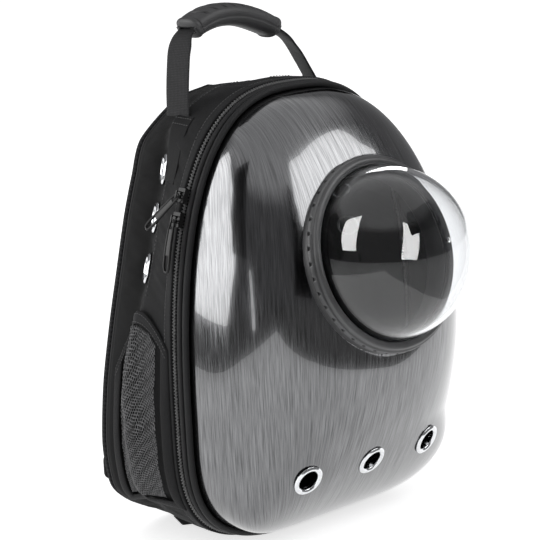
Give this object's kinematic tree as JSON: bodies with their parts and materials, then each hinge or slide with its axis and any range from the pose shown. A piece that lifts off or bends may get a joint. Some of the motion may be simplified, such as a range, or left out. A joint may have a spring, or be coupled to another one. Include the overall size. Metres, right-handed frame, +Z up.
{
  "type": "bubble pet carrier backpack",
  "caption": "Pet carrier backpack: hard front shell with a clear bubble window, soft cloth body, net side pockets, carry handle and padded shoulder straps.",
  "frame": {"origin": "middle of the flat base, on the surface it stands on", "axes": "+Z up, front with the bubble facing -Y, X across the width"},
  "size_m": [0.3412, 0.3341, 0.4892],
  "materials": {
    "shell": "gunmetal grey with fine vertical streaks under a clear gloss",
    "tape": "black woven binding tape",
    "coil": "black nylon coil",
    "cloth": "black woven polyester",
    "padding": "black padded polyester",
    "bubble": "clear smoky acrylic",
    "ring": "satin black",
    "eyelet": "polished",
    "net": "black ribbed mesh",
    "webbing": "black ribbed webbing",
    "grip": "dark grey moulded, matte",
    "buckle": "black moulded",
    "slider": "dark satin"
  },
  "bodies": {
    "carrier": {"front_shell": "shell", "shell_edge_binding": "tape", "zip_tape": "tape", "zip_coil": "coil", "fabric_body": "cloth", "back_piping": "tape", "back_panel": "padding", "window_seat": "ring", "front_eyelet_left": "eyelet", "front_eyelet_middle": "eyelet", "front_eyelet_right": "eyelet", "side_eyelet_right_low": "eyelet", "side_eyelet_right_middle": "eyelet", "side_eyelet_right_high": "eyelet", "side_eyelet_left_low": "eyelet", "side_eyelet_left_middle": "eyelet", "side_eyelet_left_high": "eyelet", "pocket_net_right": "net", "pocket_binding_right": "tape", "pocket_net_left": "net", "pocket_binding_left": "tape", "handle_webbing": "webbing", "handle_grip": "grip", "handle_patch_right": "tape", "handle_patch_left": "tape", "shoulder_pad_right": "padding", "strap_webbing_right": "webbing", "strap_buckle_right": "buckle", "strap_anchor_right": "tape", "shoulder_pad_left": "padding", "strap_webbing_left": "webbing", "strap_buckle_left": "buckle", "strap_anchor_left": "tape", "zip_slider_upper": "slider", "zip_slider_lower": "slider", "zip_end_tab": "tape"},
    "window": {"window_dome": "bubble", "window_ring": "ring"},
    "pull_upper": {"zip_pull_upper": "slider"},
    "pull_lower": {"zip_pull_lower": "slider"}
  },
  "joints": [
    {"name": "window_turn", "type": "hinge", "parent": "carrier", "child": "window", "pos_m": [0, -0.19201, 0.2706], "axis": [0, -0.9641, 0.2656], "range_deg": [0, 30]},
    {"name": "pull_upper_swing", "type": "hinge", "parent": "carrier", "child": "pull_upper", "pos_m": [-0.13499, -0.07453, 0.33285], "axis": [0.2127, 0.8192, 0.5327], "range_deg": [0, 90]},
    {"name": "pull_lower_swing", "type": "hinge", "parent": "carrier", "child": "pull_lower", "pos_m": [-0.14223, -0.07464, 0.31164], "axis": [0.0206, 0.9976, 0.0666], "range_deg": [0, 90]}
  ]
}
